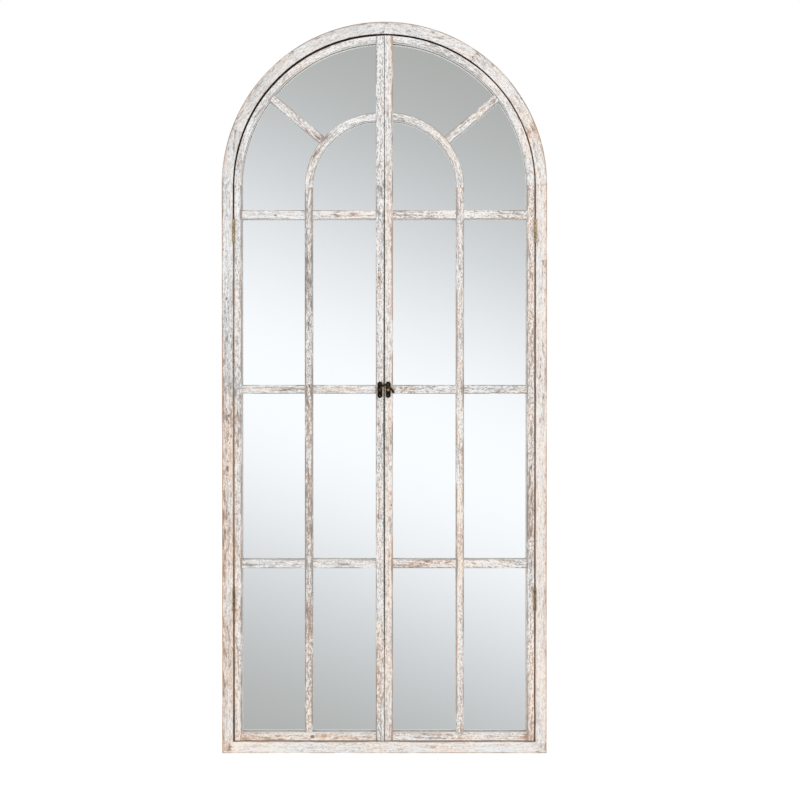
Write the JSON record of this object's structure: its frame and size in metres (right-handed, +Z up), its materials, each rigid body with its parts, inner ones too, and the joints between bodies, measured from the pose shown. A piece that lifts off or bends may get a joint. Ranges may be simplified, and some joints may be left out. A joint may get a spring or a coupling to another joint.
{
  "type": "arched window mirror",
  "caption": "Tall arched wall mirror with a whitewashed wood frame and hinged lattice window doors in front of the mirror sheet, closed by a small swing-hook latch.",
  "frame": {"origin": "centre of the underside of the bottom rail", "axes": "+Z up along the height, +X to the viewer's right across the width, +Y from the front through to the wall; the doors open towards -Y"},
  "size_m": [0.8, 0.0389, 1.8],
  "materials": {
    "whitewashed_wood": "solid softwood under worn white paint, rubbed through at edges",
    "dowel_beech": "plain beech, glued",
    "mirror_silver": "clear float glass silvered behind",
    "backing_fibreboard": "raw brown fibreboard",
    "hinge_brass": "aged brass, satin",
    "latch_bronze": "dark antique bronze, rubbed lighter on raised edges",
    "zinc_steel": "zinc-plated sheet steel",
    "rubber_black": "soft black rubber",
    "felt_grey": "grey wool felt strip",
    "rubber_clear": "soft translucent stops"
  },
  "bodies": {
    "frame": {"back_screws": "zinc_steel", "backing_board": "backing_fibreboard", "backing_clips": "zinc_steel", "centre_strip": "felt_grey", "frame_arch_lower_left": "whitewashed_wood", "frame_arch_lower_right": "whitewashed_wood", "frame_arch_middle_left": "whitewashed_wood", "frame_arch_middle_right": "whitewashed_wood", "frame_arch_upper_left": "whitewashed_wood", "frame_arch_upper_right": "whitewashed_wood", "frame_bottom_rail": "whitewashed_wood", "frame_dowels": "dowel_beech", "frame_jamb_left": "whitewashed_wood", "frame_jamb_right": "whitewashed_wood", "hanger_plates": "zinc_steel", "hinge_leaf_frame_lower_left": "hinge_brass", "hinge_leaf_frame_lower_right": "hinge_brass", "hinge_leaf_frame_upper_left": "hinge_brass", "hinge_leaf_frame_upper_right": "hinge_brass", "hinge_pins": "hinge_brass", "hinge_screws_frame": "hinge_brass", "mirror_glass": "mirror_silver", "wall_pads": "rubber_black"},
    "left_door": {"hinge_leaf_door_lower_left": "hinge_brass", "hinge_leaf_door_upper_left": "hinge_brass", "hinge_screws_left_door": "hinge_brass", "latch_plate_left": "latch_bronze", "latch_rivet": "latch_bronze", "latch_screws_left": "latch_bronze", "left_arch_rail": "whitewashed_wood", "left_bottom_rail": "whitewashed_wood", "left_cross_bar_lower": "whitewashed_wood", "left_cross_bar_middle": "whitewashed_wood", "left_cross_bar_upper": "whitewashed_wood", "left_door_dowels": "dowel_beech", "left_door_stops": "rubber_clear", "left_hinge_stile": "whitewashed_wood", "left_inner_arch": "whitewashed_wood", "left_meeting_stile": "whitewashed_wood", "left_middle_muntin": "whitewashed_wood", "left_spoke": "whitewashed_wood"},
    "right_door": {"hinge_leaf_door_lower_right": "hinge_brass", "hinge_leaf_door_upper_right": "hinge_brass", "hinge_screws_right_door": "hinge_brass", "latch_peg": "latch_bronze", "latch_plate_right": "latch_bronze", "latch_screws_right": "latch_bronze", "right_arch_rail": "whitewashed_wood", "right_bottom_rail": "whitewashed_wood", "right_cross_bar_lower": "whitewashed_wood", "right_cross_bar_middle": "whitewashed_wood", "right_cross_bar_upper": "whitewashed_wood", "right_door_dowels": "dowel_beech", "right_door_stops": "rubber_clear", "right_hinge_stile": "whitewashed_wood", "right_inner_arch": "whitewashed_wood", "right_meeting_stile": "whitewashed_wood", "right_middle_muntin": "whitewashed_wood", "right_spoke": "whitewashed_wood"},
    "latch_hook": {"latch_hook": "latch_bronze"}
  },
  "joints": [
    {"name": "left_door_hinge", "type": "hinge", "parent": "frame", "child": "left_door", "pos_m": [-0.3705, -0.0175, 0.8], "axis": [0, 0, -1], "range_deg": [0, 170]},
    {"name": "right_door_hinge", "type": "hinge", "parent": "frame", "child": "right_door", "pos_m": [0.3705, -0.0175, 0.8], "axis": [0, 0, 1], "range_deg": [0, 170]},
    {"name": "latch_hook_pivot", "type": "hinge", "parent": "left_door", "child": "latch_hook", "pos_m": [-0.011, -0.0206, 0.896], "axis": [0, -1, 0], "range_deg": [0, 110]}
  ]
}
